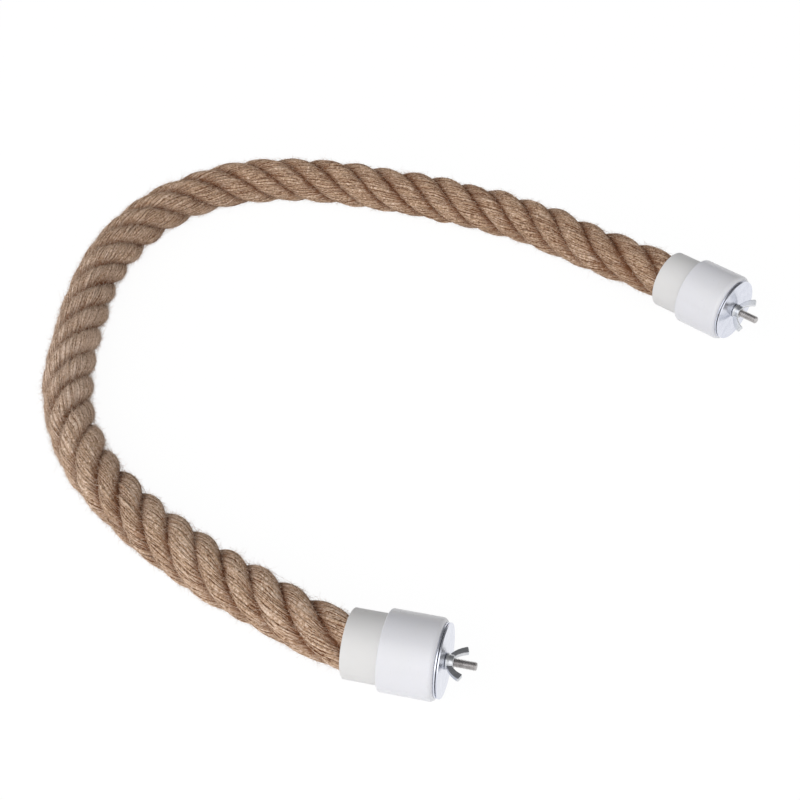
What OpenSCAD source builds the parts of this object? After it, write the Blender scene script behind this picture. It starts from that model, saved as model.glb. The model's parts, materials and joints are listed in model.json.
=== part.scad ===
// Rope perch for a bird cage, lying on a table in a wide curve, with a clamp on each end.
// Millimetres. The table is the plane at zero, and the perch lies on it as it is put down.
// Each clamp is built up along its own axis from the end of the rope, which is its zero.

/* [Rope] */
// Diameter of the rope over its strands
rope_d = 33; // [26:0.5:36]
// Length of rope held inside each collar
rope_seat = 28; // [20:1:29]
// Thickness of the tape wound round each rope end
tape_t = 0.45; // [0.2:0.05:1]
// Width of that tape along the rope
tape_w = 19; // [10:1:20]

/* [Collar and cap] */
// Wall of the collar, a short pipe that the rope is glued into
collar_wall = 2.9; // [1.5:0.1:4]
// Length of the collar
collar_len = 48.5; // [42:0.5:55]
// Rounding of the collar's ends
collar_edge_r = 0.6; // [0.2:0.1:1.2]
// Wall of the cap that is pushed over the collar
cap_wall = 3.15; // [2:0.05:5]
// Length of the cap
cap_len = 31.4; // [25:0.1:40]
// Thickness of the cap's closed end
cap_floor = 3.9; // [3:0.1:7]
// Rounding of the cap's closed end
cap_edge_r = 2.75; // [0.5:0.25:3]
// Rounding of the cap's open rim
cap_rim_r = 0.8; // [0.2:0.1:1.4]

/* [Bolt and its washer] */
// Thread diameter of the bolt
thread_d = 5; // [4:0.5:6]
// Length of the bolt under its head
bolt_len = 25; // [24:1:40]
// Width of the bolt head across its flats
head_flats = 8; // [7:0.5:10]
// Height of the bolt head
head_h = 3.5; // [2.5:0.1:4.5]
// Chamfer at the bolt's tip
tip_chamfer = 0.7; // [0.2:0.1:1.2]
// Diameter of the washer under the bolt head
head_washer_d = 15; // [12:0.5:20]
// Thickness of the washer under the bolt head
head_washer_t = 1.2; // [0.8:0.1:2]

/* [Cage washers] */
// Diameter of the two big washers that grip the cage bars
cage_washer_d = 42; // [30:0.5:46]
// Thickness of each big washer
cage_washer_t = 1; // [0.8:0.1:1.6]
// Slack between the two big washers as the perch lies there
washer_slack = 0.5; // [0.3:0.1:1.5]

/* [Wing nut] */
// Hub diameter at the washer
hub_base_d = 9.6; // [8.6:0.2:11]
// Hub diameter at the top
hub_top_d = 8.2; // [7.4:0.2:8.6]
// Height of the hub
hub_h = 4.6; // [4:0.2:6]
// Span over both wings
wing_span = 25; // [22:0.5:27]
// Height of the wings above the washer
wing_h = 11; // [10:0.25:12.5]
// Width of a wing at its tip, seen from its flat side
wing_w = 4.4; // [3.5:0.1:5]
// Width of a wing where it leaves the hub
wing_root_w = 2.8; // [2.2:0.1:3.4]
// Thickness of a wing
wing_t = 2.3; // [1.5:0.1:2.8]
// Radius of the curve in which each wing rises from the hub
wing_bend_r = 15; // [13:0.5:18]
// How far a wing's tip leans outwards, in degrees
wing_lean = 20; // [15:1:25]
// Rounding of a wing's corners
wing_corner_r = 0.7; // [0.3:0.1:1]
// How far the near nut's wings stand turned from level
near_nut_turn = 174; // [0:1:180]
// How far the far nut's wings stand turned from level
far_nut_turn = 39; // [0:1:180]

/* [Hidden] */

// The rope's route: x, y, and its rise as a share of the way up from lying flat to the caps'
// axis. The first and the last two points lie inside the collars, on the clamps' axes.
route_points = [
  [-113, -150, 1], [-139, -142, 1], [-157, -131, 0.9], [-175, -116, 0.6], [-196, -98, 0.2],
  [-219, -79, 0], [-241, -59, 0], [-262, -38, 0], [-281, -14, 0], [-298, 10, 0],
  [-312, 36, 0], [-322, 64, 0], [-327, 94, 0], [-328, 125, 0], [-327, 155, 0],
  [-324, 185, 0], [-320, 214, 0], [-313, 241, 0], [-301, 267, 0], [-285, 290, 0],
  [-264, 309, 0], [-239, 322, 0], [-211, 328, 0], [-182, 328, 0], [-153, 322, 0],
  [-125, 314, 0], [-98, 303, 0], [-71, 292, 0], [-45, 279, 0], [-19, 265, 0],
  [6, 248, 0], [28, 229, 0.1], [48, 208, 0.4], [68, 188, 0.85], [91, 165, 1],
  [110, 146, 1]
];
rope_sides = 12; // of the rope's tube

// Clearances
tape_gap = 0.05;   // rope to tape, and glue to what it fills
fit_gap = 0.1;     // tape to collar, collar to cap, and washers to what they lie on
hole_gap = 0.25;   // thread to the holes that it passes through
thread_gap = 0.05; // thread to nut
overrun = 1;       // how far cuts run past a face
fine = 96;
small = 48;

// Radii, from the rope outwards
rope_r = rope_d / 2;
tape_in_r = rope_r + tape_gap;
tape_out_r = tape_in_r + tape_t;
collar_in_r = tape_out_r + fit_gap;
collar_out_r = collar_in_r + collar_wall;
cap_in_r = collar_out_r + fit_gap;
cap_out_r = cap_in_r + cap_wall;
glue_r = collar_in_r - tape_gap;
thread_r = thread_d / 2;
hole_r = thread_r + hole_gap;
nut_bore_r = thread_r + thread_gap;
head_corner_r = head_flats / 2 / cos(30);
head_washer_r = head_washer_d / 2;
cage_washer_r = cage_washer_d / 2;

// How high the clamps' axes lie when each clamp rests on its widest piece
axis_z = max(cap_out_r, cage_washer_r);

// Places along a clamp's axis, from the rope's end to the stud's tip
collar_mouth = -rope_seat;
collar_end = collar_mouth + collar_len;
cap_inside = collar_end + fit_gap;
cap_face = cap_inside + cap_floor;
cap_mouth = cap_face - cap_len;
head_washer_at = cap_inside - head_washer_t;
head_at = head_washer_at - head_h;
bolt_tip = head_washer_at + bolt_len;
inner_washer_at = cap_face + fit_gap;
outer_washer_at = inner_washer_at + cage_washer_t + washer_slack;
nut_at = outer_washer_at + cage_washer_t + fit_gap;

// Wing nut
hub_base_r = hub_base_d / 2;
hub_top_r = hub_top_d / 2;
wing_tip_x = (wing_span - wing_w * cos(wing_lean)) / 2;
wing_tip_z = wing_h - wing_w / 2 * sin(wing_lean);
wing_root_x = (nut_bore_r + hub_top_r) / 2;
wing_root_lean = acos(cos(wing_lean) - (wing_tip_x - wing_root_x) / wing_bend_r);
wing_length = wing_bend_r * (wing_root_lean - wing_lean) * PI / 180;
wing_corner_at = 1 - wing_corner_r / wing_length; // where the tip's rounding starts
wing_steps = 14;
corner_step = 15; // degrees
wing_foot = 0.4; // how far a wing stays above the washer

// Colours
jute = [0.60, 0.47, 0.34];
ivory = [0.91, 0.90, 0.86];
white = [0.93, 0.93, 0.95];
zinc = [0.76, 0.78, 0.80];
glue_amber = [0.86, 0.80, 0.62];
tape_grey = [0.35, 0.36, 0.38];

function unit(v) = v / norm(v);

// Where the rope's middle runs
route = [
  for (p = route_points) [p[0], p[1], rope_r + (axis_z - rope_r) * p[2]]
];
route_end = len(route) - 1;
near_yaw = atan2(route[0][1] - route[1][1], route[0][0] - route[1][0]);
far_yaw = atan2(
  route[route_end][1] - route[route_end - 1][1],
  route[route_end][0] - route[route_end - 1][0]
);

// One ring of the rope's tube, square to the route, with a corner at its lowest point
function heading(i) = unit(route[min(i + 1, route_end)] - route[max(i - 1, 0)]);
function sideways(i) = unit(cross(heading(i), [0, 0, 1]));
function upwards(i) = cross(sideways(i), heading(i));
function ring(i) = [
  for (k = [0:rope_sides - 1])
    let (a = 360 * k / rope_sides)
      route[i] + rope_r * (cos(a) * sideways(i) + sin(a) * upwards(i))
];
rings = [for (i = [0:route_end]) each ring(i)];
function corner(i, k) = i * rope_sides + k % rope_sides;
skin = [
  for (i = [0:route_end - 1]) for (k = [0:rope_sides - 1]) each [
    [corner(i, k), corner(i, k + 1), corner(i + 1, k + 1)],
    [corner(i, k), corner(i + 1, k + 1), corner(i + 1, k)]
  ]
];
first_end = [for (k = [1:rope_sides - 2]) [corner(0, 0), corner(0, k + 1), corner(0, k)]];
last_end = [
  for (k = [1:rope_sides - 2])
    [corner(route_end, 0), corner(route_end, k), corner(route_end, k + 1)]
];

// Puts a clamp's own axis, which is Z, on the end of the rope at that point of the route
module at_end(i, yaw, turn = 0) {
  translate(route[i]) rotate([0, 0, yaw]) rotate([0, 90, 0]) rotate([0, 0, 90 + turn]) children();
}

module at_near(turn = 0) {
  at_end(0, near_yaw, turn) children();
}

module at_far(turn = 0) {
  at_end(route_end, far_yaw, turn) children();
}

// A round bar from z0 to z1 with its rim rounded at both ends
module round_bar(r, z0, z1, low_r, high_r) {
  rotate_extrude($fn = fine) {
    translate([0, z0 + low_r]) square([r, z1 - z0 - low_r - high_r]);
    translate([0, z0]) square([r - low_r, z1 - z0 - high_r]);
    translate([0, z0 + low_r]) square([r - high_r, z1 - z0 - low_r]);
    intersection() {
      translate([r - low_r, z0 + low_r]) circle(r = low_r, $fn = small);
      translate([r - low_r, z0]) square([low_r, low_r]);
    }
    intersection() {
      translate([r - high_r, z1 - high_r]) circle(r = high_r, $fn = small);
      translate([r - high_r, z1 - high_r]) square([high_r, high_r]);
    }
  }
}

module washer(outer_r, inner_r, z0, thick) {
  difference() {
    translate([0, 0, z0]) cylinder(r = outer_r, h = thick, $fn = fine);
    translate([0, 0, z0 - overrun])
      cylinder(r = inner_r, h = thick + 2 * overrun, $fn = small);
  }
}

// Tape round the rope's end, which stops the strands from opening
module rope_tape_shape() {
  difference() {
    translate([0, 0, -tape_w]) cylinder(r = tape_out_r, h = tape_w, $fn = fine);
    translate([0, 0, -tape_w - overrun])
      cylinder(r = tape_in_r, h = tape_w + 2 * overrun, $fn = fine);
  }
}

// Glue that fills the collar past the rope's end and holds the bolt head
module glue_plug_shape() {
  difference() {
    translate([0, 0, tape_gap]) cylinder(r = glue_r, h = cap_inside, $fn = fine);
    translate([0, 0, head_at - tape_gap])
      cylinder(r = head_corner_r + tape_gap, h = cap_inside, $fn = fine);
    translate([0, 0, head_washer_at - tape_gap])
      cylinder(r = head_washer_r + tape_gap, h = cap_inside, $fn = fine);
    // the collar stops a little short of the cap's closed end, and so does the glue
    translate([0, 0, collar_end]) cylinder(r = glue_r + overrun, h = overrun, $fn = fine);
  }
}

module collar_shape() {
  difference() {
    round_bar(collar_out_r, collar_mouth, collar_end, collar_edge_r, collar_edge_r);
    translate([0, 0, collar_mouth - overrun])
      cylinder(r = collar_in_r, h = collar_len + 2 * overrun, $fn = fine);
  }
}

module end_cap_shape() {
  difference() {
    round_bar(cap_out_r, cap_mouth, cap_face, cap_rim_r, cap_edge_r);
    translate([0, 0, cap_mouth - overrun])
      cylinder(r = cap_in_r, h = cap_inside - cap_mouth + overrun, $fn = fine);
    translate([0, 0, cap_inside - overrun])
      cylinder(r = hole_r, h = cap_floor + 2 * overrun, $fn = small);
  }
}

module bolt_shape() {
  translate([0, 0, head_at]) cylinder(r = head_corner_r, h = head_h, $fn = 6);
  translate([0, 0, head_washer_at]) cylinder(r = thread_r, h = bolt_len - tip_chamfer, $fn = small);
  translate([0, 0, bolt_tip - tip_chamfer])
    cylinder(r1 = thread_r, r2 = thread_r - tip_chamfer, h = tip_chamfer, $fn = small);
}

// A wing's middle line rises in a curve from the hub to the tip, and the wing widens along it
function wing_lean_at(s) = wing_root_lean + (wing_lean - wing_root_lean) * s;
function wing_width_at(s) = wing_root_w + (wing_w - wing_root_w) * s;
function wing_across(lean) = [cos(lean), -sin(lean)];
function wing_ahead(lean) = [sin(lean), cos(lean)];
function wing_middle(lean) = [wing_tip_x, wing_tip_z]
  + wing_bend_r * [cos(lean) - cos(wing_lean), sin(wing_lean) - sin(lean)];
function wing_edge(s, side) = let (lean = wing_lean_at(s))
  wing_middle(lean) + side * wing_width_at(s) / 2 * wing_across(lean);
function wing_corner(a, side) = [wing_tip_x, wing_tip_z]
  + side * (wing_w / 2 - wing_corner_r * (1 - cos(a))) * wing_across(wing_lean)
  - wing_corner_r * (1 - sin(a)) * wing_ahead(wing_lean);

module wing_outline() {
  intersection() {
    polygon([
      for (k = [0:wing_steps]) wing_edge(wing_corner_at * k / wing_steps, 1),
      for (a = [corner_step:corner_step:90]) wing_corner(a, 1),
      for (a = [90:-corner_step:corner_step]) wing_corner(a, -1),
      for (k = [wing_steps:-1:0]) wing_edge(wing_corner_at * k / wing_steps, -1)
    ]);
    translate([0, wing_foot]) square([wing_span, wing_h]);
  }
}

module wing_nut_shape() {
  difference() {
    union() {
      translate([0, 0, nut_at]) cylinder(r1 = hub_base_r, r2 = hub_top_r, h = hub_h, $fn = fine);
      for (side = [0, 180])
        rotate([0, 0, side]) translate([0, wing_t / 2, nut_at]) rotate([90, 0, 0])
          linear_extrude(height = wing_t) wing_outline();
    }
    translate([0, 0, nut_at - overrun])
      cylinder(r = nut_bore_r, h = wing_h + 2 * overrun, $fn = small);
  }
}

module rope() {
  color(jute) polyhedron(points = rings, faces = concat(skin, first_end, last_end));
}

module near_rope_tape() {
  color(tape_grey) at_near() rope_tape_shape();
}

module near_glue_plug() {
  color(glue_amber) at_near() glue_plug_shape();
}

module near_collar() {
  color(ivory) at_near() collar_shape();
}

module near_end_cap() {
  color(white) at_near() end_cap_shape();
}

module near_bolt() {
  color(zinc) at_near() bolt_shape();
}

module near_head_washer() {
  color(zinc) at_near() washer(head_washer_r, hole_r, head_washer_at, head_washer_t);
}

module near_inner_cage_washer() {
  color(zinc) at_near() washer(cage_washer_r, hole_r, inner_washer_at, cage_washer_t);
}

module near_outer_cage_washer() {
  color(zinc) at_near() washer(cage_washer_r, hole_r, outer_washer_at, cage_washer_t);
}

module near_wing_nut() {
  color(zinc) at_near(near_nut_turn) wing_nut_shape();
}

module far_rope_tape() {
  color(tape_grey) at_far() rope_tape_shape();
}

module far_glue_plug() {
  color(glue_amber) at_far() glue_plug_shape();
}

module far_collar() {
  color(ivory) at_far() collar_shape();
}

module far_end_cap() {
  color(white) at_far() end_cap_shape();
}

module far_bolt() {
  color(zinc) at_far() bolt_shape();
}

module far_head_washer() {
  color(zinc) at_far() washer(head_washer_r, hole_r, head_washer_at, head_washer_t);
}

module far_inner_cage_washer() {
  color(zinc) at_far() washer(cage_washer_r, hole_r, inner_washer_at, cage_washer_t);
}

module far_outer_cage_washer() {
  color(zinc) at_far() washer(cage_washer_r, hole_r, outer_washer_at, cage_washer_t);
}

module far_wing_nut() {
  color(zinc) at_far(far_nut_turn) wing_nut_shape();
}

rope();
near_rope_tape();
near_glue_plug();
near_collar();
near_end_cap();
near_bolt();
near_head_washer();
near_inner_cage_washer();
near_outer_cage_washer();
near_wing_nut();
far_rope_tape();
far_glue_plug();
far_collar();
far_end_cap();
far_bolt();
far_head_washer();
far_inner_cage_washer();
far_outer_cage_washer();
far_wing_nut();
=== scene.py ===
# A jute rope perch for a bird cage, lying on a white table, with a cap, washers and a wing nut on each end.
import json
import math

import bpy
import numpy as np
from mathutils import Matrix, Vector


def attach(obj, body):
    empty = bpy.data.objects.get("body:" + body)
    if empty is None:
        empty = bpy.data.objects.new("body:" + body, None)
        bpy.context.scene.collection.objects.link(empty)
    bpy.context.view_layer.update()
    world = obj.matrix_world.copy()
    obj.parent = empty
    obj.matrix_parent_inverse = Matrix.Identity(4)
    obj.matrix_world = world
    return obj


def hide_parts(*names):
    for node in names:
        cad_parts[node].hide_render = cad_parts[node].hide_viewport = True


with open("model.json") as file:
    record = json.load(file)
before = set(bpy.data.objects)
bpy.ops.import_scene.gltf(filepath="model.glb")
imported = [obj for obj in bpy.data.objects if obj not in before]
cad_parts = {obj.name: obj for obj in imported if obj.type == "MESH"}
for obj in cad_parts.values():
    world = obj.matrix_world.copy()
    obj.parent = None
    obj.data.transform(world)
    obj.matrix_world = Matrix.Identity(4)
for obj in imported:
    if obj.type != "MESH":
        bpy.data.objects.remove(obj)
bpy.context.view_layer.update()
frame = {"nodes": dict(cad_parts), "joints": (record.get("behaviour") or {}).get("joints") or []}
mm = 0.001
tiny = 1e-9   # keeps a division from being by nought
ends = ("near", "far")
print("stage 1: frame loaded,", len(frame["nodes"]), "solids")


# The camera stands in front of the near clamp and looks down at the table
cameraView = {
    "place": (-0.104, -0.665, 0.680),
    "lookDown": 42.36,      # degrees below level
    "roll": -3.30,          # degrees
    "focalPixels": 1497.2,  # in a picture 800 pixels wide
    "pictureWidth": 800,
    "sensor": 36.0,
    "nearest": 0.01,
}


def makeCamera(view):
    data = bpy.data.cameras.new("camera")
    data.sensor_width = view["sensor"]
    data.lens = view["focalPixels"] / view["pictureWidth"] * view["sensor"]
    data.clip_start = view["nearest"]
    camera = bpy.data.objects.new("camera", data)
    down = math.radians(view["lookDown"])
    roll = math.radians(view["roll"])
    ahead = Vector((0, math.cos(down), -math.sin(down)))
    level = Vector((1, 0, 0))
    upright = Vector((0, math.sin(down), math.cos(down)))
    right = math.cos(roll) * level + math.sin(roll) * upright
    up = -math.sin(roll) * level + math.cos(roll) * upright
    turn = Matrix((right, up, -ahead)).transposed()
    camera.matrix_world = Matrix.Translation(view["place"]) @ turn.to_4x4()
    bpy.context.scene.collection.objects.link(camera)
    bpy.context.scene.camera = camera


makeCamera(cameraView)


# Small helpers for nodes and meshes

def newMaterial(name):
    material = bpy.data.materials.new(name)
    material.use_nodes = True
    material.node_tree.nodes.clear()
    return material, material.node_tree


def node(tree, kind, **values):
    made = tree.nodes.new(kind)
    for key, value in values.items():
        setattr(made, key, value)
    return made


def link(tree, source, target):
    tree.links.new(source, target)


def finishShader(tree, sockets):
    shader = node(tree, "ShaderNodeBsdfPrincipled")
    for name, value in sockets.items():
        shader.inputs[name].default_value = value
    output = node(tree, "ShaderNodeOutputMaterial")
    link(tree, shader.outputs["BSDF"], output.inputs["Surface"])
    return shader


def ramp(tree, source, stops):
    made = node(tree, "ShaderNodeValToRGB")
    bands = made.color_ramp.elements
    while len(bands) < len(stops):
        bands.new(0.5)
    for band, (place, colour) in zip(bands, stops):
        band.position = place
        band.color = (*colour, 1)
    link(tree, source, made.inputs["Fac"])
    return made.outputs["Color"]


def noise(tree, vector, scale, detail=2.0, rough=0.5):
    made = node(tree, "ShaderNodeTexNoise")
    made.inputs["Scale"].default_value = scale
    made.inputs["Detail"].default_value = detail
    made.inputs["Roughness"].default_value = rough
    link(tree, vector, made.inputs["Vector"])
    return made.outputs["Fac"]


def mathNode(tree, kind, a, b):
    made = node(tree, "ShaderNodeMath", operation=kind)
    for place, value in enumerate((a, b)):
        if isinstance(value, (int, float)):
            made.inputs[place].default_value = value
        else:
            link(tree, value, made.inputs[place])
    return made.outputs["Value"]


def centred(tree, source, gain):
    # turns a noise of 0 to 1 into one that swings about nought, gain wide
    return mathNode(tree, "MULTIPLY", mathNode(tree, "SUBTRACT", source, 0.5), gain)


def mapRange(tree, value, source, target=(0, 1), kind="LINEAR"):
    made = node(tree, "ShaderNodeMapRange", interpolation_type=kind)
    for name, limit in zip(("From Min", "From Max", "To Min", "To Max"), (*source, *target)):
        made.inputs[name].default_value = limit
    link(tree, value, made.inputs["Value"])
    return made.outputs["Result"]


def scaled(tree, vector, scale):
    made = node(tree, "ShaderNodeMapping")
    made.inputs["Scale"].default_value = scale
    link(tree, vector, made.inputs["Vector"])
    return made.outputs["Vector"]


def warped(tree, vector, scale, reach):
    # shifts a place by up to twice the reach, differently from spot to spot
    made = node(tree, "ShaderNodeTexNoise")
    made.inputs["Scale"].default_value = scale
    link(tree, vector, made.inputs["Vector"])
    shift = node(tree, "ShaderNodeVectorMath", operation="MULTIPLY_ADD")
    link(tree, made.outputs["Color"], shift.inputs[0])
    shift.inputs[1].default_value = (2 * reach, 2 * reach, 0)
    link(tree, vector, shift.inputs[2])
    return shift.outputs["Vector"]


def bump(tree, height, strength, distance):
    made = node(tree, "ShaderNodeBump")
    made.inputs["Strength"].default_value = strength
    made.inputs["Distance"].default_value = distance
    link(tree, height, made.inputs["Height"])
    return made.outputs["Normal"]


def gridFaces(rows, columns):
    # a tube's faces, wrapped round its columns
    faces = []
    for i in range(rows - 1):
        for j in range(columns):
            k = (j + 1) % columns
            faces.append((i * columns + j, i * columns + k, (i + 1) * columns + k, (i + 1) * columns + j))
    return faces


def newPiece(name, points, faces, smooth=True):
    mesh = bpy.data.meshes.new(name)
    mesh.from_pydata(np.asarray(points, float).tolist(), [], faces)
    mesh.polygons.foreach_set("use_smooth", [smooth] * len(mesh.polygons))
    mesh.update()
    piece = bpy.data.objects.new(name, mesh)
    bpy.context.scene.collection.objects.link(piece)
    return piece


# The rope: its route is the one that the solid follows, in metres, with each point's rise as a
# share of the way up from lying flat to the clamps' axis
ropeRoute = {
    "points": [
        (-0.113, -0.150, 1), (-0.139, -0.142, 1), (-0.157, -0.131, 0.9), (-0.175, -0.116, 0.6),
        (-0.196, -0.098, 0.2), (-0.219, -0.079, 0), (-0.241, -0.059, 0), (-0.262, -0.038, 0),
        (-0.281, -0.014, 0), (-0.298, 0.010, 0), (-0.312, 0.036, 0), (-0.322, 0.064, 0),
        (-0.327, 0.094, 0), (-0.328, 0.125, 0), (-0.327, 0.155, 0), (-0.324, 0.185, 0),
        (-0.320, 0.214, 0), (-0.313, 0.241, 0), (-0.301, 0.267, 0), (-0.285, 0.290, 0),
        (-0.264, 0.309, 0), (-0.239, 0.322, 0), (-0.211, 0.328, 0), (-0.182, 0.328, 0),
        (-0.153, 0.322, 0), (-0.125, 0.314, 0), (-0.098, 0.303, 0), (-0.071, 0.292, 0),
        (-0.045, 0.279, 0), (-0.019, 0.265, 0), (0.006, 0.248, 0), (0.028, 0.229, 0.1),
        (0.048, 0.208, 0.4), (0.068, 0.188, 0.85), (0.091, 0.165, 1), (0.110, 0.146, 1),
    ],
    "lowZ": 0.0165,         # the rope's middle where it lies flat
    "highZ": 0.02325,       # and on the clamps' axes
    "pointsPerSpan": 40,
    "fineStep": 0.001,      # the steps in which the curve is eased
    "smoothing": 0.006,     # how far it is eased, in metres along it
    "step": 0.0020,         # from ring to ring
}


def bell(spread):
    # weights that fall off on both sides of a middle, to ease a line with
    reach = int(3 * spread)
    return np.exp(-0.5 * (np.arange(-reach, reach + 1) / spread) ** 2)


def ropeCentreline(route):
    rise = route["highZ"] - route["lowZ"]
    points = np.array([(x, y, route["lowZ"] + rise * share) for x, y, share in route["points"]])
    # a curve through the points, then eased and cut into even steps
    padded = np.vstack([2 * points[0] - points[1], points, 2 * points[-1] - points[-2]])
    t = np.linspace(0, 1, route["pointsPerSpan"], endpoint=False)[:, None]
    spans = []
    for i in range(1, len(padded) - 2):
        a, b, c, d = padded[i - 1:i + 3]
        square, cube = 2 * a - 5 * b + 4 * c - d, 3 * b - a - 3 * c + d
        spans.append(0.5 * (2 * b + (c - a) * t + square * t**2 + cube * t**3))
    curve = evenSteps(np.vstack(spans + [points[-1:]]), route["fineStep"])
    weights = bell(route["smoothing"] / route["fineStep"])
    weights /= weights.sum()
    reach = len(weights) // 2
    before = curve[0] + (curve[0] - curve[1]) * np.arange(reach, 0, -1)[:, None]
    after = curve[-1] + (curve[-1] - curve[-2]) * np.arange(1, reach + 1)[:, None]
    longer = np.vstack([before, curve, after])
    eased = np.stack([np.convolve(longer[:, k], weights, "valid") for k in range(3)], axis=1)
    return evenSteps(eased, route["step"])


def evenSteps(line, step):
    along = np.concatenate([[0], np.cumsum(np.linalg.norm(np.diff(line, axis=0), axis=1))])
    at = np.linspace(0, along[-1], int(round(along[-1] / step)) + 1)
    return np.stack([np.interp(at, along, line[:, k]) for k in range(3)], axis=1)


centreline = ropeCentreline(ropeRoute)
ropeLength = float(np.linalg.norm(np.diff(centreline, axis=0), axis=1).sum())
ringStep = ropeLength / (len(centreline) - 1)


def clampPlace(end):
    # the rope's end and the clamp's outward axis, from the joint that turns about it
    joint = next(j for j in frame["joints"] if j["name"] == end + "_inner_washer_spin")
    return np.array(joint["pos_m"]), np.array(joint["axis"]) / np.linalg.norm(joint["axis"])


clampPlaces = {end: clampPlace(end) for end in ends}

ropeLook = {
    "diameter": 0.033,
    "strands": 4,
    # how far the strands have turned round the rope, in radians, at millimetres along it
    "turns": [
        (0, 1.45), (40, 3.59), (87, 6.39), (134, 9.6), (181, 12.74), (228, 15.63), (275, 18.38),
        (322, 21.14), (369, 23.94), (416, 26.77), (463, 29.62), (510, 32.46), (557, 35.28),
        (604, 38.16), (651, 41.14), (698, 44.04), (745, 46.99), (792, 50.14), (839, 53.3),
        (886, 56.23), (933, 58.88), (1010, 62.91),
    ],
    "turnEasing": 15,        # in millimetres
    "strandFromMiddle": 0.0090,
    "strandHalfDepth": 0.0072,
    "strandHalfWidth": 0.0083,
    "yarns": 36,             # round each strand
    "columnsPerYarn": 5,
    "yarnRelief": 0.0006,    # how far a yarn stands out from between its neighbours
    "yarnSink": 0.6,         # the share of that which lies under the strand's own surface
    "yarnUnevenness": 0.00026,
    "yarnWander": 0.40,      # sideways, in yarns
    "looserTo": 0.165,       # the yarns are twisted less up to here along the rope
    "looserBy": 0.16,        # and by this share
    # the jute's paleness at metres along the rope, with painted light in how it changes: paler on the left
    # bend and darker towards the far end, where less light falls
    "paintedLightAlong": [(0, 0.58), (0.22, 0.58), (0.36, 0.80), (0.53, 0.52), (0.75, 0.475), (1.01, 0.475)],
    "yarnTone": 0.07,        # how much lighter or darker a yarn is than its neighbours
    "gapPaintedShade": 0.85,         # how much shade is painted between yarns
    "gapUsual": 0.65,        # how open a gap is, which sets its painted shade, how much that varies, and the most it may be
    "gapVariety": 0.50,
    "gapMost": 1.3,
    "gapBefore": 0.2,        # how much of its painted shade lies on the yarn before it
    "shagMiddle": 0.38,      # where along the rope it is shaggiest, and how far that reaches
    "shagReach": 0.17,
    "shagMore": 2.8,         # how much more nap grows there
    "swell": 0.045,          # how much a strand's thickness varies
    "mouthSwell": 0.04,      # how much the rope widens to fill a collar's mouth
    "mouthReach": 0.012,
    "collarBore": 0.0171,
    "collarDepth": 0.028,
    "collarGap": 0.15 * mm,  # kept clear of the collar's wall
    "mouthSlope": 0.7,       # how fast the rope may widen outside a collar
    "squeezedFrom": -0.05,   # the stretch of a clamp's axis where it is squeezed, and how far round that
    "squeezedTo": 0.03,
    "squeezedWithin": 0.04,
    "lowest": 0.4 * mm,      # here the table stops it
    # over how many rings these change
    "spreads": {"swell": 8, "wander": 2.5, "uneven": 5, "paintedGapShade": 1.2, "toneAndPaintedLight": 3},
    "seed": 7,
}


def smoothRandom(random, rows, columns, spread):
    # random values that change slowly down the rows, most of them between -1 and 1
    weights = bell(spread)
    weights /= math.sqrt((weights**2).sum())
    rough = random.normal(size=(rows + len(weights) - 1, columns))
    return np.stack([np.convolve(rough[:, j], weights, "valid") for j in range(columns)], axis=1)


def shagginess(along):
    return np.exp(-((along - ropeLook["shagMiddle"]) / ropeLook["shagReach"]) ** 2)


def ropeAxes(line):
    ahead = np.gradient(line, axis=0)
    ahead /= np.linalg.norm(ahead, axis=1)[:, None]
    side = np.cross((0, 0, 1), ahead)
    side /= np.linalg.norm(side, axis=1)[:, None]
    return ahead, side, np.cross(ahead, side)


def strandTurn(along):
    # the measured turns, run on past both ends and with their corners eased
    places, values = np.array(ropeLook["turns"]).T
    margin = 4 * ropeLook["turnEasing"]
    fine = np.arange(-margin, places[-1] + margin + 1)
    slopes = np.diff(values) / np.diff(places)
    line = np.interp(fine, places, values)
    line += np.minimum(0, fine) * slopes[0] + np.maximum(0, fine - places[-1]) * slopes[-1]
    weights = bell(ropeLook["turnEasing"])
    eased = np.convolve(line, weights / weights.sum(), "same")
    return np.interp(along / mm, fine, eased)


def keepInCollars(points, look):
    # the rope is squeezed where it enters a collar, and the table stops it from below
    for place, axis in clampPlaces.values():
        along = (points - place) @ axis
        middle = place + along[:, None] * axis
        away = np.linalg.norm(points - middle, axis=1)
        outside = np.maximum(0, -look["collarDepth"] - along)
        most = look["collarBore"] - look["collarGap"] + look["mouthSlope"] * outside
        near = (along > look["squeezedFrom"]) & (along < look["squeezedTo"]) & (away < look["squeezedWithin"])
        near &= away > most
        points[near] = middle[near] + (points - middle)[near] * (most / np.maximum(away, tiny))[near, None]
    low = look["lowest"]
    below = points[:, 2] < low
    points[below, 2] = low * np.exp((points[below, 2] - low) / low)
    return points


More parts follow.
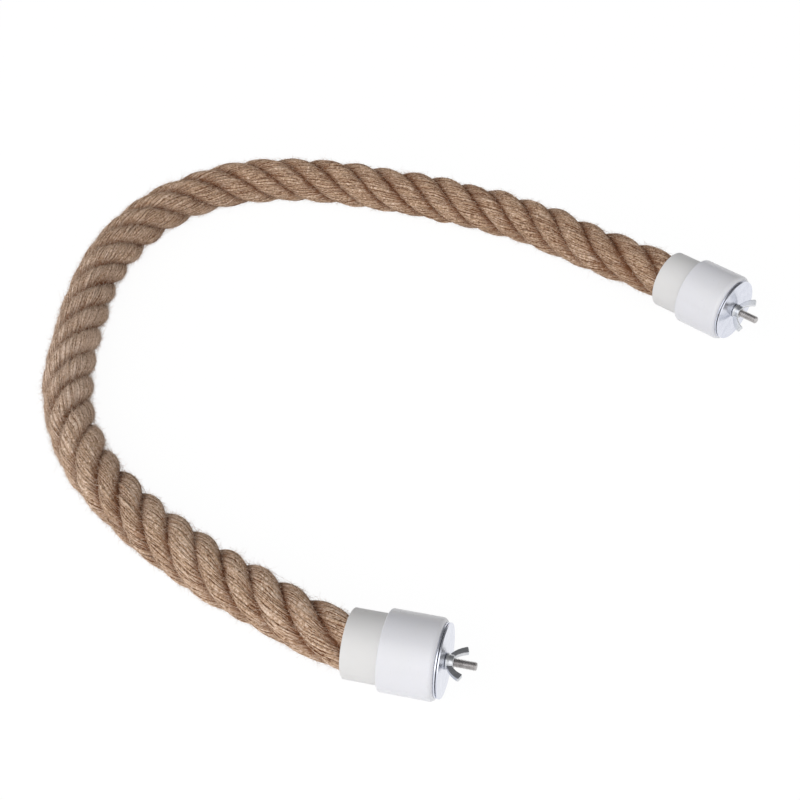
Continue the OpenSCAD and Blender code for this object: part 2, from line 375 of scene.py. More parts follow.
def strandSurface(index, look):
    random = np.random.default_rng(look["seed"] + index)
    spreads = look["spreads"]
    ahead, side, up = ropeAxes(centreline)
    rings, yarns, per = len(centreline), look["yarns"], look["columnsPerYarn"]
    along = np.arange(rings) * ringStep
    base = strandTurn(along)
    turn = base + 2 * math.pi * index / look["strands"]
    swell = 1 + look["swell"] * smoothRandom(random, rings, 1, spreads["swell"])
    nearMouth, farMouth = look["collarDepth"], ropeLength - look["collarDepth"]
    toMouth = np.minimum(np.abs(along - nearMouth), np.abs(farMouth - along))
    swell += look["mouthSwell"] * np.exp(-(toMouth / look["mouthReach"]) ** 2)[:, None]
    depth, width = look["strandHalfDepth"] * swell, look["strandHalfWidth"] * swell
    # a yarn on the crown runs level with the rope, so it turns back round its strand
    crown = look["strandFromMiddle"] + look["strandHalfDepth"]
    looser = look["looserBy"] * np.minimum(base, np.interp(look["looserTo"], along, base))
    twist = (base - looser) * crown / look["strandHalfWidth"]
    yarn = np.repeat(np.arange(yarns), per)
    nextYarn = (yarn + 1) % yarns
    column = np.tile(np.arange(per), yarns)
    part = column / per
    wander = look["yarnWander"] * smoothRandom(random, rings, yarns, spreads["wander"])
    shift = wander[:, yarn] * (1 - part) + wander[:, nextYarn] * part
    angle = 2 * math.pi * (yarn + part + shift) / yarns - twist[:, None]
    uneven = look["yarnUnevenness"] * smoothRandom(random, rings, yarns, spreads["uneven"])
    relief = look["yarnRelief"] * (np.sqrt(np.maximum(0, 1 - (2 * part - 1) ** 2)) - look["yarnSink"])
    lift = relief + uneven[:, yarn]
    outward = np.stack([np.cos(angle) / depth, np.sin(angle) / width], axis=2)
    outward /= np.linalg.norm(outward, axis=2)[..., None]
    radial = look["strandFromMiddle"] + depth * np.cos(angle) + lift * outward[..., 0]
    around = width * np.sin(angle) + lift * outward[..., 1]
    spoke = np.cos(turn)[:, None] * side + np.sin(turn)[:, None] * up
    rim = -np.sin(turn)[:, None] * side + np.cos(turn)[:, None] * up
    points = centreline[:, None, :] + radial[..., None] * spoke[:, None, :]
    points += around[..., None] * rim[:, None, :]
    fromMiddle = np.sqrt(radial**2 + around**2)
    # shade is painted into each gap between two yarns, on the first column of a yarn and a little on the
    # last, darker the more open the gap
    openness = look["gapUsual"] + look["gapVariety"] * smoothRandom(random, rings, yarns, spreads["paintedGapShade"])
    openness = np.clip(openness, 0, look["gapMost"])
    paintedGapShade = openness[:, yarn] * (column == 0)
    paintedGapShade += look["gapBefore"] * openness[:, nextYarn] * (column == per - 1)
    toneAndPaintedLight = look["yarnTone"] * smoothRandom(random, rings, yarns, spreads["toneAndPaintedLight"])[:, yarn]
    toneAndPaintedLight -= look["gapPaintedShade"] * paintedGapShade
    # painted light along the rope
    toneAndPaintedLight += np.interp(along, *np.array(look["paintedLightAlong"]).T)[:, None]
    return points, fromMiddle, toneAndPaintedLight


def addFloats(mesh, name, values):
    layer = mesh.attributes.new(name, "FLOAT", "POINT")
    layer.data.foreach_set("value", np.asarray(values, np.float32).ravel())


def addStrandMap(mesh, columns):
    # the first way goes round the strand, and the second along it, both in metres
    layer = mesh.uv_layers.new(name="yarns")
    corners = np.zeros(len(mesh.loops), np.int32)
    mesh.loops.foreach_get("vertex_index", corners)
    starts = np.zeros(len(mesh.polygons), np.int32)
    mesh.polygons.foreach_get("loop_start", starts)
    totals = np.zeros(len(mesh.polygons), np.int32)
    mesh.polygons.foreach_get("loop_total", totals)
    ring, column = corners // columns, (corners % columns).astype(float)
    quads = starts[totals == 4]
    # a quad that spans the seam ends past the last column, and not back at the first
    for k in range(4):
        wrapped = (column[quads + k] == 0) & (column[quads + (k + 2) % 4] == columns - 1)
        column[quads[wrapped] + k] = columns
    girth = math.pi * (ropeLook["strandHalfDepth"] + ropeLook["strandHalfWidth"])
    places = np.stack([column / columns * girth, ring * ringStep], axis=1)
    layer.data.foreach_set("uv", places.astype(np.float32).ravel())


def makeStrand(index, look):
    points, fromMiddle, toneAndPaintedLight = strandSurface(index, look)
    rings, columns = points.shape[:2]
    flat = keepInCollars(points.reshape(-1, 3), look)
    faces = gridFaces(rings, columns)
    faces.append(tuple(range(columns - 1, -1, -1)))
    faces.append(tuple(range((rings - 1) * columns, rings * columns)))
    piece = newPiece("ropeStrand" + "ABCD"[index], flat, faces)
    addStrandMap(piece.data, columns)
    addFloats(piece.data, "fromMiddle", fromMiddle / (look["diameter"] / 2))
    # the yarns' tone, with painted shade between the yarns and painted light along the rope
    addFloats(piece.data, "yarnTone", toneAndPaintedLight)
    return piece, flat, fromMiddle.ravel()


juteLook = {
    "dark": (0.150, 0.060, 0.028),
    "middle": (0.555, 0.368, 0.238),
    "light": (0.960, 0.785, 0.660),
    # painted shade for the deep grooves between the strands
    "grooveShade": (0.200, 0.080, 0.035),
    "fuzzDark": (0.46, 0.275, 0.160),
    "fuzz": (0.93, 0.745, 0.590),
    "fuzzScale": 900,
    "fuzzBands": (0.35, 0.62),
    "fibresAcross": 2600,     # a metre
    "fibresAlong": 700,
    "fibreContrast": 1.8,
    "fibreBump": 0.6,
    "fibreDepth": 0.25 * mm,
    "dashesAcross": 1250,
    "dashesAlong": 380,
    "dashContrast": 1.2,
    "patchesAcross": 160,
    "patchesAlong": 90,
    "patchContrast": 0.15,
    "wavesAcross": 320,
    "wavy": 0.0009,           # how far the fibres wander, in metres
    "grooveShadeBand": (0.71, 0.99),   # painted shade deep between the strands, from all dark to clear, in shares of the rope's radius
    "grooveRagged": 0.14,     # how uneven that band is
    "grooveScale": 260,
}


def juteMaterial(look):
    material, tree = newMaterial("jute")
    shader = finishShader(tree, {
        "Roughness": 0.85, "Specular IOR Level": 0.15,
        "Sheen Weight": 0.12, "Sheen Roughness": 0.45, "Sheen Tint": (0.95, 0.88, 0.80, 1),
    })
    place = node(tree, "ShaderNodeUVMap", uv_map="yarns").outputs["UV"]
    # the yarns' tone, with painted shade between yarns and painted light along the rope
    toneAndPaintedLight = node(tree, "ShaderNodeAttribute", attribute_name="yarnTone").outputs["Fac"]
    middle = node(tree, "ShaderNodeAttribute", attribute_name="fromMiddle").outputs["Fac"]
    wavy = warped(tree, place, look["wavesAcross"], look["wavy"])
    acrossAlong = (look["fibresAcross"], look["fibresAlong"], 1)
    fibres = noise(tree, scaled(tree, wavy, acrossAlong), 1.0, detail=3.0, rough=0.6)
    acrossAlong = (look["dashesAcross"], look["dashesAlong"], 1)
    dashes = noise(tree, scaled(tree, wavy, acrossAlong), 1.0, detail=1.0)
    acrossAlong = (look["patchesAcross"], look["patchesAlong"], 1)
    patches = noise(tree, scaled(tree, place, acrossAlong), 1.0)
    grain = centred(tree, fibres, look["fibreContrast"])
    dashed = centred(tree, dashes, look["dashContrast"])
    blotch = centred(tree, patches, look["patchContrast"])
    level = mathNode(tree, "ADD", mathNode(tree, "ADD", toneAndPaintedLight, grain), mathNode(tree, "ADD", dashed, blotch))
    colour = ramp(tree, level, [(0.0, look["dark"]), (0.5, look["middle"]), (1.0, look["light"])])
    # painted shade between the strands: the groove colour is mixed in the nearer a point lies to the rope's
    # middle
    uneven = centred(tree, noise(tree, wavy, look["grooveScale"], detail=3.0), look["grooveRagged"])
    depth = mapRange(tree, mathNode(tree, "ADD", middle, uneven), look["grooveShadeBand"], kind="SMOOTHSTEP")
    mix = node(tree, "ShaderNodeMix", data_type="RGBA")
    link(tree, depth, mix.inputs["Factor"])
    mix.inputs[6].default_value = (*look["grooveShade"], 1)   # 6 and 7 are the two colours, 2 is the mixed one
    link(tree, colour, mix.inputs[7])
    link(tree, mix.outputs[2], shader.inputs["Base Color"])
    link(tree, bump(tree, fibres, look["fibreBump"], look["fibreDepth"]), shader.inputs["Normal"])
    return material


jute = juteMaterial(juteLook)
surfacePoints, surfaceFromMiddle, surfaceRings = [], [], []
for index in range(ropeLook["strands"]):
    strand, flat, fromMiddle = makeStrand(index, ropeLook)
    strand.data.materials.append(jute)
    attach(strand, "root")
    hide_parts("rope")
    surfacePoints.append(flat)
    surfaceFromMiddle.append(fromMiddle)
    surfaceRings.append(np.repeat(np.arange(len(centreline)), len(flat) // len(centreline)))
surfacePoints = np.vstack(surfacePoints)
surfaceFromMiddle = np.concatenate(surfaceFromMiddle)
surfaceRings = np.concatenate(surfaceRings)


# Loose fibres that stand out of the rope: a short nap all over it, and some long stray ones
fuzzLooks = {
    "ropeNapA": {"seed": 21}, "ropeNapB": {"seed": 22}, "ropeNapC": {"seed": 23},
    "ropeNapD": {"seed": 25}, "ropeNapE": {"seed": 26}, "ropeNapF": {"seed": 27},
    "ropeNapG": {"seed": 28},
    "ropeStrays": {
        "seed": 24, "count": 5200, "lengths": (0.006, 0.016), "thickness": 0.00016, "stations": 6,
        "lift": (0.0, 0.30), "lean": 0.7, "bend": 0.35,
    },
}
napLook = {
    "count": 12500, "lengths": (0.0015, 0.0070), "thickness": 0.00013, "stations": 3,
    "lift": (0.05, 1.4), "lean": 0.8, "bend": 0.3,
    "shortest": 0.5,         # each is cut to between this share of its length and the whole
    "taper": 0.6,            # how much thinner its tip is
    "hug": 0.25,             # how much of its lift bends back to the rope
    "sunk": 0.25 * mm,       # how deep it is rooted
    "rootsFrom": 0.80,       # it grows no deeper in the grooves than this share of the rope's radius
    "reach": 0.0225,         # how far it may stand from the rope's middle
    "tableGap": 0.3 * mm,
    "collarGap": 0.3 * mm,
    "clampReach": 0.06,      # how far from the rope's end it is kept off the collar
}
fibreSides = 3                 # so a fibre's ends are triangles
slanted = (0.31, 0.52, 0.79)   # any direction that hardly a fibre takes


def fibreTubes(roots, ahead, bend, lengths, look):
    # thin tubes that start at the roots and curve by bend over their length
    t = np.linspace(0, 1, look["stations"])
    curve = ahead[:, None] * t[:, None] + bend[:, None] * t[:, None] ** 2
    path = roots[:, None] + lengths[:, None, None] * curve
    way = np.gradient(path, axis=1)
    way /= np.linalg.norm(way, axis=2)[..., None]
    side = np.cross(way, slanted)
    side /= np.maximum(np.linalg.norm(side, axis=2), tiny)[..., None]
    other = np.cross(way, side)
    thick = look["thickness"] / 2 * (1 - look["taper"] * t)[:, None]
    rings = []
    for corner in range(fibreSides):
        turn = 2 * math.pi * corner / fibreSides
        rings.append(path + thick * (math.cos(turn) * side + math.sin(turn) * other))
    return path, np.stack(rings, axis=2)


def fibreFaces(count, stations):
    first = (np.arange(count) * stations * fibreSides)[:, None, None]
    last = fibreSides * (stations - 1)
    quads = np.array(gridFaces(stations, fibreSides))[None] + first
    caps = np.array([(2, 1, 0), (last, last + 1, last + 2)])[None] + first
    return quads.reshape(-1, 4).tolist() + caps.reshape(-1, 3).tolist()


def makeFuzz(name, look):
    random = np.random.default_rng(look["seed"])
    count = look["count"]
    picked = random.choice(fuzzRoots, count, replace=False, p=fuzzShares)
    roots, nearest = surfacePoints[picked], surfaceRings[picked]
    ahead = ropeAxes(centreline)[0][nearest]
    outward = roots - centreline[nearest]
    outward /= np.linalg.norm(outward, axis=1)[:, None]
    across = np.cross(ahead, outward)
    sense = random.choice([-1.0, 1.0], count)[:, None]
    lift = random.uniform(*look["lift"], count)[:, None]
    lean = random.normal(0, look["lean"], count)[:, None]
    way = sense * ahead + lift * outward + lean * across
    way /= np.linalg.norm(way, axis=1)[:, None]
    lengths = random.uniform(*look["lengths"], count) * random.uniform(look["shortest"], 1, count)
    # the long ones follow the rope's roundness
    hug = look["hug"] * lift + lengths[:, None] / ropeLook["diameter"]
    bend = random.normal(0, look["bend"], (count, 3)) - hug * outward
    path, rings = fibreTubes(roots - look["sunk"] * outward, way, bend, lengths, look)
    # a fibre that reaches too far, into the table or onto a clamp is left out
    tips = path - centreline[nearest][:, None]
    tips -= (tips * ahead[:, None]).sum(2)[..., None] * ahead[:, None]
    keep = (np.linalg.norm(tips, axis=2).max(1) < look["reach"]) & (path[..., 2].min(1) > look["tableGap"])
    for place, axis in clampPlaces.values():
        past = (path - place) @ axis > -ropeLook["collarDepth"] - look["collarGap"]
        close = np.linalg.norm(path - place, axis=2) < look["clampReach"]
        keep &= ~(past & close).any(1)
    rings = rings[keep]
    return newPiece(name, rings.reshape(-1, 3), fibreFaces(len(rings), look["stations"]))


def fuzzMaterial(look):
    material, tree = newMaterial("juteFuzz")
    shader = finishShader(tree, {"Roughness": 0.7, "Specular IOR Level": 0.3, "Sheen Weight": 0.2})
    place = node(tree, "ShaderNodeTexCoord").outputs["Object"]
    dark, pale = look["fuzzBands"]
    stops = [(dark, look["fuzzDark"]), (pale, look["fuzz"])]
    colour = ramp(tree, noise(tree, place, look["fuzzScale"], detail=1.0), stops)
    link(tree, colour, shader.inputs["Base Color"])
    return material


fuzzRoots = np.flatnonzero(surfaceFromMiddle > napLook["rootsFrom"] * ropeLook["diameter"] / 2)
fuzzShares = 1 + ropeLook["shagMore"] * shagginess(surfaceRings[fuzzRoots] * ringStep)
fuzzShares /= fuzzShares.sum()
nap = fuzzMaterial(juteLook)
for name, look in fuzzLooks.items():
    piece = makeFuzz(name, {**napLook, **look})
    piece.data.materials.append(nap)
    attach(piece, "root")


# The two clamps. Each is built along its own axis from the rope's end, in millimetres, as the
# solids are: x level and away from the rope's curve, y up and z outwards along the bolt.

def clampMatrix(end):
    place, axis = clampPlaces[end]
    away = np.cross((0, 0, 1), axis)
    turn = Matrix((away, (0, 0, 1), axis)).transposed()
    return Matrix.Translation(place) @ turn.to_4x4() @ Matrix.Scale(mm, 4)


def roundCorner(before, corner, after, radius, steps):
    # the arc that rounds one corner of an outline
    a, b = (np.asarray(before) - corner), (np.asarray(after) - corner)
    a, b = a / np.linalg.norm(a), b / np.linalg.norm(b)
    half = math.acos(np.clip(a @ b, -1, 1)) / 2
    reach = radius / math.tan(half)
    middle = corner + (a + b) / np.linalg.norm(a + b) * radius / math.sin(half)
    first, last = corner + a * reach - middle, corner + b * reach - middle
    sweep = math.pi - 2 * half
    return [middle + (math.sin((1 - t) * sweep) * first + math.sin(t * sweep) * last) / math.sin(sweep)
            for t in np.linspace(0, 1, steps)]


def outline(corners, steps):
    # a closed outline through corners of (across, along, rounding), with short flats beside each arc
    beside = 0.12
    count = len(corners)
    points = []
    for i, (across, along, radius) in enumerate(corners):
        corner = np.array((across, along), float)
        before, after = np.array(corners[i - 1][:2]), np.array(corners[(i + 1) % count][:2])
        arc = roundCorner(before, corner, after, radius, steps) if radius > 0 else [corner]
        near = arc[0] + (before - corner) / np.linalg.norm(before - corner) * beside
        far = arc[-1] + (after - corner) / np.linalg.norm(after - corner) * beside
        points += [near, *arc, far]
    return np.array(points)


def lathe(name, profile, around):
    # turns a closed outline of (radius, along) round the clamp's axis
    turn = np.arange(around) * 2 * math.pi / around
    radius, along = profile[:, 0], profile[:, 1]
    points = np.stack([
        radius[None, :] * np.cos(turn)[:, None],
        radius[None, :] * np.sin(turn)[:, None],
        np.repeat(along[None, :], around, axis=0),
    ], axis=2)
    count = len(profile)
    faces = []
    for i in range(around):
        k = (i + 1) % around
        for j in range(count):
            m = (j + 1) % count
            faces.append((i * count + j, k * count + j, k * count + m, i * count + m))
    return newPiece(name, points.reshape(-1, 3), faces)


def ringOutline(inner, outer, low, high, edges, steps=7):
    # a ring's section, its edges rounded in the order outer low, outer high, inner high, inner low
    outerLow, outerHigh, innerHigh, innerLow = edges
    return outline([
        (inner, low, innerLow), (outer, low, outerLow),
        (outer, high, outerHigh), (inner, high, innerHigh),
    ], steps)


def bakeModifiers(piece):
    graph = bpy.context.evaluated_depsgraph_get()
    mesh = bpy.data.meshes.new_from_object(piece.evaluated_get(graph))
    piece.modifiers.clear()
    old = piece.data
    piece.data = mesh
    mesh.name = piece.name
    bpy.data.meshes.remove(old)


def fitToClamp(piece, end, body, replaced, material):
    # puts a piece that was built in a clamp's own millimetres into the frame
    piece.data.transform(clampMatrix(end))
    piece.data.update()
    piece.data.materials.clear()
    piece.data.materials.append(material)
    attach(piece, body)
    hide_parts(replaced)


collarSizes = {
    "bore": 17.1, "outside": 20.0, "mouth": -28.0, "end": 20.5,
    "edges": (0.6, 0.6, 0.3, 0.5),   # roundings, in the order of ringOutline
    "around": 160,
}


def makeCollar(end, size, material):
    section = ringOutline(size["bore"], size["outside"], size["mouth"], size["end"], size["edges"])
    piece = lathe(end + "Collar", section, size["around"])
    fitToClamp(piece, end, "root", end + "_collar", material)


capSizes = {
    "bore": 20.1, "outside": 23.25, "rim": -6.9, "inside": 20.6, "face": 24.5, "hole": 2.75,
    "boreEdge": 0.4, "rimEdge": 0.8, "faceEdge": 2.75, "holeEdge": 0.3, "insideEdge": 0.5,
    "around": 160,
}


def makeCap(end, size, material):
    section = outline([
        (size["bore"], size["rim"], size["boreEdge"]), (size["outside"], size["rim"], size["rimEdge"]),
        (size["outside"], size["face"], size["faceEdge"]), (size["hole"], size["face"], size["holeEdge"]),
        (size["hole"], size["inside"], size["holeEdge"]), (size["bore"], size["inside"], size["insideEdge"]),
    ], steps=10)
    piece = lathe(end + "EndCap", section, size["around"])
    fitToClamp(piece, end, "root", end + "_end_cap", material)


boltSizes = {
    "major": 2.5, "minor": 2.02, "pitch": 0.8, "headAt": 15.9, "shankAt": 19.4, "tip": 44.4,
    "rootFlat": 0.12,      # the thread's root and its flanks, in shares of half a pitch
    "flank": 0.74,
    "chamfer": 0.7,        # at the tip, and a smaller one at its very end
    "tipEdge": 0.15,
    "flats": 8.0,          # across the head
    "crown": 0.35,         # how far the head's corners are turned down, and how wide its flat top is
    "crownShare": 0.97,
    "seatEdge": 0.1,
    "fillet": 0.2,
    "point": 0.01,         # the radius at which both ends close
    "runIn": 0.02,
    "columns": 64, "rowsPerPitch": 12,
}


def threadRadius(size, turn, along):
    # a right-handed thread, with a flat on its crest and one in its root
    phase = (along / size["pitch"] - turn / (2 * math.pi)) % 1
    slope = np.clip((np.abs(2 * phase - 1) - size["rootFlat"]) / size["flank"], 0, 1)
    return size["minor"] + (size["major"] - size["minor"]) * slope


def makeBolt(end, size, material):
    columns = size["columns"]
    head, shank, tip = size["headAt"], size["shankAt"], size["tip"]
    turn = np.arange(columns) * 2 * math.pi / columns
    hexagon = size["flats"] / 2 / np.cos((turn + math.pi / 6) % (math.pi / 3) - math.pi / 6)
    blunt = size["major"] - size["chamfer"]
    rows = [
        (head, np.full(columns, size["point"])),
        (head, np.full(columns, size["flats"] / 2 * size["crownShare"])),
        (head + size["crown"], hexagon),
        (shank - size["seatEdge"], hexagon),
        (shank, hexagon - size["seatEdge"]),
        (shank, np.full(columns, size["major"] + size["fillet"])),
    ]
    for along in np.arange(shank + size["runIn"], tip, size["pitch"] / size["rowsPerPitch"]):
        rows.append((along, np.minimum(threadRadius(size, turn, along), blunt + (tip - along))))
    rows += [(tip, np.full(columns, blunt - size["tipEdge"])), (tip, np.full(columns, size["point"]))]
    points = [(r * math.cos(a), r * math.sin(a), along) for along, radii in rows for r, a in zip(radii, turn)]
    faces = [tuple(reversed(face)) for face in gridFaces(len(rows), columns)]
    faces.append(tuple(range(columns)))
    faces.append(tuple(range(len(points) - 1, len(points) - 1 - columns, -1)))
    piece = newPiece(end + "Bolt", points, faces)
    fitToClamp(piece, end, "root", end + "_bolt", material)


washerSizes = {
    "outside": 21.0, "hole": 2.75,
    "innerAt": 24.6, "innerThick": 1.0, "outerAt": 26.2, "outerThick": 0.9,
    "edges": (0.28, 0.12, 0.2, 0.08),   # roundings, in the order of ringOutline
    "lean": 0.5,                        # degrees by which the loose outer washer leans back
    "around": 160,
}


def makeWasher(end, which, size, material):
    low, thick = size[which + "At"], size[which + "Thick"]
    section = ringOutline(size["hole"], size["outside"], low, low + thick, size["edges"], steps=6)
    piece = lathe(end + which.capitalize() + "Washer", section, size["around"])
    if which == "outer":
        middle = Matrix.Translation((0, 0, low + thick / 2))
        lean = Matrix.Rotation(math.radians(-size["lean"]), 4, "X")
        piece.data.transform(middle @ lean @ middle.inverted())
    replaced = end + "_" + which + "_cage_washer"
    fitToClamp(piece, end, end + "_" + which + "_washer", replaced, material)


nutSizes = {
    "at": 27.2,
    # the hub's corners, as radius, height and rounding
    "hub": [
        (2.56, 0, 0.2), (4.8, 0, 0.3), (4.7, 1.0, 0.4),
        (4.1, 2.0, 0.5), (3.9, 4.6, 0.9), (2.56, 4.6, 0.3),
    ],
    "hubAround": 72,
    "tip": (10.43, 10.25),       # a wing's tip, out from the axis and up from the hub's foot
    "lean": 20.0,                # degrees by which a wing leans out at its tip, and at its root
    "rootLean": 63.0,
    "bend": 15.0,                # the radius of the curve between
    "tipWidth": 4.4, "rootWidth": 2.8, "thick": 2.3, "corner": 0.7,
    "lowest": 0.4,               # a wing starts this far above the hub's foot
    "stations": 14, "cornerSteps": 5,
    "grain": 0.16,               # how fine the cast surface is, and how often and how much it is softened
    "smoothing": 6, "softening": 0.5,
    "turn": {"near": 174, "far": 39},   # degrees
}


def wingBlank(size, side):
    # one wing as a flat bar that rises in a curve from the hub and widens towards its tip
    tip, last = np.array(size["tip"]), math.radians(size["lean"])
    first = math.radians(size["rootLean"])
    corner = size["corner"] / size["bend"] / (first - last)
    share = np.linspace(0, 1 - corner, size["stations"])
    lean = first + (last - first) * share
    width = size["rootWidth"] + (size["tipWidth"] - size["rootWidth"]) * share
    curve = np.stack([np.cos(lean) - math.cos(last), math.sin(last) - np.sin(lean)], axis=1)
    middle = tip + size["bend"] * curve
    across = np.stack([np.cos(lean), -np.sin(lean)], axis=1) * width[:, None] / 2
    square = np.array((math.cos(last), -math.sin(last))) * size["tipWidth"] / 2
    inner, outer = middle - across, middle + across
    tipArc = roundCorner(outer[-1], tip + square, tip, size["corner"], size["cornerSteps"])
    tipArc += roundCorner(tip, tip - square, inner[-1], size["corner"], size["cornerSteps"])
    flat = np.vstack([outer, tipArc, inner[::-1]])
    flat[:, 1] = np.maximum(flat[:, 1], size["lowest"])
    points, count = [], len(flat)
    for half in (-0.5, 0.5):
        points += [(side * x, side * half * size["thick"], z) for x, z in flat]
    faces = [tuple(range(count)), tuple(range(2 * count - 1, count - 1, -1))]
    for i in range(count):
        k = (i + 1) % count
        faces.append((k, i, count + i, count + k))
    return points, faces


def makeWingNut(end, size, material):
    hub = lathe("hub", outline(size["hub"], steps=6), size["hubAround"])
    parts = [(np.array([v.co for v in hub.data.vertices]), [tuple(p.vertices) for p in hub.data.polygons])]
    parts += [wingBlank(size, side) for side in (1, -1)]
    bpy.data.objects.remove(hub)
    points, faces = [], []
    for part, partFaces in parts:
        faces += [tuple(v + len(points) for v in face) for face in partFaces]
        points += [tuple(p) for p in part]
    piece = newPiece(end + "WingNut", points, faces)
    piece.data.transform(Matrix.Rotation(math.radians(size["turn"][end]), 4, "Z"))
    cast = piece.modifiers.new("cast", "REMESH")
    cast.mode = "VOXEL"
    cast.voxel_size = size["grain"]
    soften = piece.modifiers.new("soften", "SMOOTH")
    soften.factor = size["softening"]
    soften.iterations = size["smoothing"]
    bakeModifiers(piece)
    piece.data.polygons.foreach_set("use_smooth", [True] * len(piece.data.polygons))
    piece.data.transform(Matrix.Translation((0, 0, size["at"])))
    fitToClamp(piece, end, end + "_nut", end + "_wing_nut", material)


# Finishes of the clamps, and of what lies hidden inside them
plasticLooks = {
    "collar": {"colour": (0.795, 0.787, 0.787), "tint": (0.77, 0.762, 0.755), "roughness": 0.42, "coat": 0.0},
    "cap": {"colour": (0.82, 0.82, 0.865), "tint": (0.80, 0.80, 0.83), "roughness": 0.26, "coat": 0.25},
}
plasticFinish = {
    "driftScale": 35, "driftBands": (0.35, 0.7),
    "scuffScales": (900, 260, 260), "scuffBand": (0.3, 0.75), "scuffRoughness": 0.12,
    "peelScale": 420, "peelBump": 0.08, "peelDepth": 0.2 * mm,
}
metalLooks = {
    "washer": {"colour": (0.77, 0.79, 0.87), "tint": (0.68, 0.70, 0.79), "roughness": 0.17},
    "nut": {"colour": (0.70, 0.71, 0.73), "tint": (0.54, 0.56, 0.59), "roughness": 0.27},
    "stud": {"colour": (0.60, 0.58, 0.575), "tint": (0.40, 0.38, 0.37), "roughness": 0.28},
}
metalFinish = {
    "cloudScale": 190, "cloudBands": (0.35, 0.75),
    "hazeScale": 700, "hazeBand": (0.3, 0.8), "hazeRoughness": 0.14,
    "rumbleScale": 330, "rumbleBump": 0.25, "rumbleDepth": 0.06 * mm,
}
hiddenLooks = {
    "tape": {"dark": (0.08, 0.085, 0.10), "light": (0.13, 0.135, 0.15), "roughness": 0.8, "scale": 1500},
    "glue": {"dark": (0.62, 0.50, 0.28), "light": (0.74, 0.63, 0.40), "roughness": 0.4, "scale": 300},
}
hiddenFinish = {"bands": (0.35, 0.65), "bump": 0.4, "depth": 0.2 * mm}


def plasticMaterial(name, look):
    # moulded plastic: a slow drift of colour, a faint orange peel and hairline scuffs
    look = {**plasticFinish, **look}
    material, tree = newMaterial(name)
    shader = finishShader(tree, {
        "Specular IOR Level": 0.45, "Coat Weight": look["coat"], "Coat Roughness": 0.12,
        "Subsurface Weight": 0.12, "Subsurface Radius": (0.0022, 0.002, 0.0018), "Subsurface Scale": 1.0,
    })
    position = node(tree, "ShaderNodeTexCoord").outputs["Object"]
    low, high = look["driftBands"]
    drift = noise(tree, position, look["driftScale"], detail=3.0)
    link(tree, ramp(tree, drift, [(low, look["colour"]), (high, look["tint"])]), shader.inputs["Base Color"])
    scuffs = noise(tree, scaled(tree, position, look["scuffScales"]), 1.0, detail=4.0, rough=0.7)
    roughness = (look["roughness"], look["roughness"] + look["scuffRoughness"])
    link(tree, mapRange(tree, scuffs, look["scuffBand"], roughness), shader.inputs["Roughness"])
    peel = noise(tree, position, look["peelScale"])
    link(tree, bump(tree, peel, look["peelBump"], look["peelDepth"]), shader.inputs["Normal"])
    return material


def metalMaterial(name, look):
    # bright zinc plating, slightly clouded, with a rumbled surface
    look = {**metalFinish, **look}
    material, tree = newMaterial(name)
    shader = finishShader(tree, {"Metallic": 1.0})
    position = node(tree, "ShaderNodeTexCoord").outputs["Object"]
    low, high = look["cloudBands"]
    cloud = noise(tree, position, look["cloudScale"], detail=4.0, rough=0.6)
    link(tree, ramp(tree, cloud, [(low, look["colour"]), (high, look["tint"])]), shader.inputs["Base Color"])
    haze = noise(tree, position, look["hazeScale"], detail=3.0, rough=0.6)
    roughness = (look["roughness"], look["roughness"] + look["hazeRoughness"])
    link(tree, mapRange(tree, haze, look["hazeBand"], roughness), shader.inputs["Roughness"])
    rumble = noise(tree, position, look["rumbleScale"], detail=3.0)
    link(tree, bump(tree, rumble, look["rumbleBump"], look["rumbleDepth"]), shader.inputs["Normal"])
    return material


def hiddenMaterial(name, look):
    look = {**hiddenFinish, **look}
    material, tree = newMaterial(name)
    shader = finishShader(tree, {"Roughness": look["roughness"]})
    position = node(tree, "ShaderNodeTexCoord").outputs["Object"]
    low, high = look["bands"]
    grain = noise(tree, position, look["scale"], detail=3.0)
    link(tree, ramp(tree, grain, [(low, look["dark"]), (high, look["light"])]), shader.inputs["Base Color"])
    link(tree, bump(tree, grain, look["bump"], look["depth"]), shader.inputs["Normal"])
    return material


collarPlastic = plasticMaterial("ivoryPlastic", plasticLooks["collar"])
capPlastic = plasticMaterial("whitePlastic", plasticLooks["cap"])
washerZinc = metalMaterial("washerZinc", metalLooks["washer"])
nutZinc = metalMaterial("nutZinc", metalLooks["nut"])
studSteel = metalMaterial("studSteel", metalLooks["stud"])
tapeCloth = hiddenMaterial("tapeCloth", hiddenLooks["tape"])
glueResin = hiddenMaterial("glueResin", hiddenLooks["glue"])
hiddenFinishes = {"_rope_tape": tapeCloth, "_glue_plug": glueResin, "_head_washer": washerZinc}

for end in ends:
    makeCollar(end, collarSizes, collarPlastic)
    makeCap(end, capSizes, capPlastic)
    makeBolt(end, boltSizes, studSteel)
    makeWasher(end, "inner", washerSizes, washerZinc)
    makeWasher(end, "outer", washerSizes, washerZinc)
    makeWingNut(end, nutSizes, nutZinc)
    for name, material in hiddenFinishes.items():
        hidden = bpy.data.objects[end + name]
        hidden.data.materials.clear()
        hidden.data.materials.append(material)
print("stage 4: both clamps")


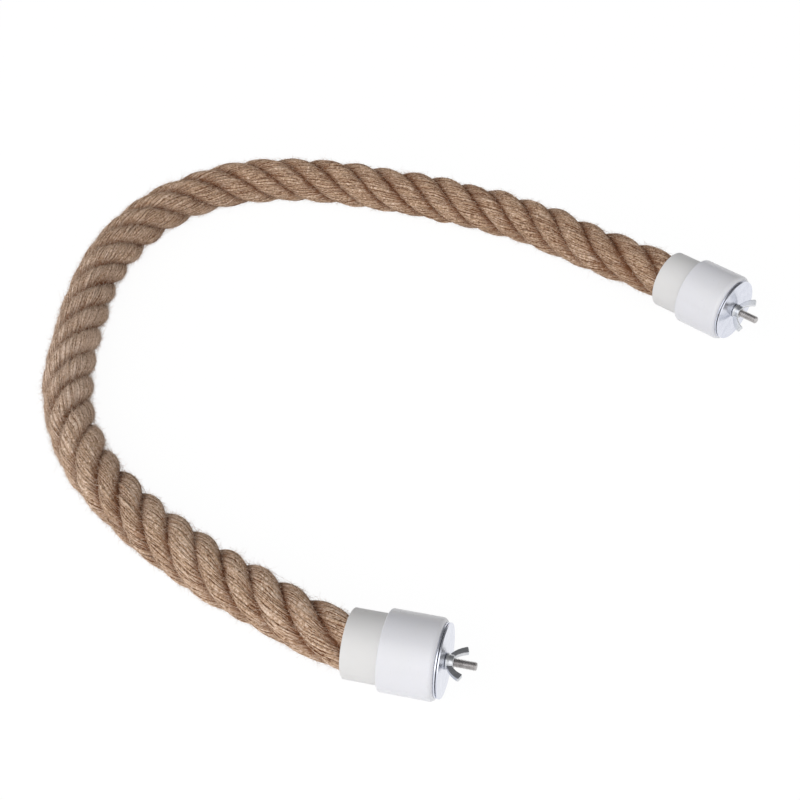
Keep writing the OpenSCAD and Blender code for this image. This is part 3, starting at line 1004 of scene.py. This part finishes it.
# Table and light: a white table, a soft room that is brightest in front and dark above, behind and
# to the right, and one wide soft lamp in front and to the left
stageLook = {
    "tableHalf": 3.0,
    "table": (0.93, 0.93, 0.93),
    "shadowShare": 0.08,    # how much of the table's own shading shows
    "tableGlow": 1.04,      # white, together with that shading
    "bright": 0.92,         # the room's levels
    "dark": 0.27,
    "darkAim": (0.40, 0.43, 0.81),   # towards the middle of the room's dark part
    "skyBands": (0.34, 0.76),        # from bright to dark, as cosines of the angle to that aim
    "backdropTop": (0.06, 0.20),     # the white backdrop fades out between these heights, as sines
    "frontShare": 1.25,     # how much brighter the front of the room is, and the back of it
    "backShare": 0.60,
    "lampPlace": (-0.85, -0.95, 1.12),
    "lampAim": (-0.05, 0.05, 0.0),
    "lampSize": 1.6,
    "lampPower": 6.2,
}


def seenDirectly(tree):
    # 1 for what the camera, metal and glass see, and 0 for what only lights the perch
    path = node(tree, "ShaderNodeLightPath")
    seen = mathNode(tree, "MAXIMUM", path.outputs["Is Camera Ray"], path.outputs["Is Glossy Ray"])
    return mathNode(tree, "MAXIMUM", seen, path.outputs["Is Transmission Ray"])


def makeTable(look):
    half = look["tableHalf"]
    corners = [(-half, -half, 0), (half, -half, 0), (half, half, 0), (-half, half, 0)]
    table = newPiece("table", corners, [(0, 1, 2, 3)], smooth=False)
    material, tree = newMaterial("table")
    shade = node(tree, "ShaderNodeBsdfDiffuse")
    shade.inputs["Color"].default_value = (*look["table"], 1)
    bright = node(tree, "ShaderNodeEmission")
    bright.inputs["Strength"].default_value = look["tableGlow"]
    mix = node(tree, "ShaderNodeMixShader")
    link(tree, mathNode(tree, "MULTIPLY", seenDirectly(tree), 1 - look["shadowShare"]), mix.inputs["Fac"])
    link(tree, shade.outputs["BSDF"], mix.inputs[1])
    link(tree, bright.outputs["Emission"], mix.inputs[2])
    output = node(tree, "ShaderNodeOutputMaterial")
    link(tree, mix.outputs["Shader"], output.inputs["Surface"])
    table.data.materials.append(material)


def makeWorld(look):
    world = bpy.data.worlds.new("studio")
    bpy.context.scene.world = world
    world.use_nodes = True
    tree = world.node_tree
    tree.nodes.clear()
    direction = node(tree, "ShaderNodeTexCoord").outputs["Generated"]
    parts = node(tree, "ShaderNodeSeparateXYZ")
    link(tree, direction, parts.inputs["Vector"])
    towards = node(tree, "ShaderNodeVectorMath", operation="DOT_PRODUCT")
    link(tree, direction, towards.inputs[0])
    towards.inputs[1].default_value = look["darkAim"]
    low, high = look["skyBands"]
    stops = [(low, (look["bright"],) * 3), (high, (look["dark"],) * 3)]
    soft = node(tree, "ShaderNodeBackground")
    link(tree, ramp(tree, towards.outputs["Value"], stops), soft.inputs["Color"])
    shares = (look["frontShare"], look["backShare"])
    link(tree, mapRange(tree, parts.outputs["Y"], (-1, 1), shares, "SMOOTHSTEP"), soft.inputs["Strength"])
    white = node(tree, "ShaderNodeBackground")
    white.inputs["Color"].default_value = (1, 1, 1, 1)
    backdrop = mapRange(tree, parts.outputs["Z"], look["backdropTop"], (1, 0), "SMOOTHSTEP")
    mix = node(tree, "ShaderNodeMixShader")
    link(tree, mathNode(tree, "MULTIPLY", seenDirectly(tree), backdrop), mix.inputs["Fac"])
    link(tree, soft.outputs["Background"], mix.inputs[1])
    link(tree, white.outputs["Background"], mix.inputs[2])
    output = node(tree, "ShaderNodeOutputWorld")
    link(tree, mix.outputs["Shader"], output.inputs["Surface"])


def makeLamp(look):
    data = bpy.data.lights.new("softLamp", "AREA")
    data.shape = "SQUARE"
    data.size = look["lampSize"]
    data.energy = look["lampPower"]
    lamp = bpy.data.objects.new("softLamp", data)
    lamp.location = look["lampPlace"]
    aim = Vector(look["lampAim"]) - Vector(look["lampPlace"])
    lamp.rotation_euler = aim.to_track_quat("-Z", "Y").to_euler()
    bpy.context.scene.collection.objects.link(lamp)


makeTable(stageLook)
makeWorld(stageLook)
makeLamp(stageLook)
bpy.context.scene.view_settings.view_transform = "Standard"
print("stage 5: table and light")
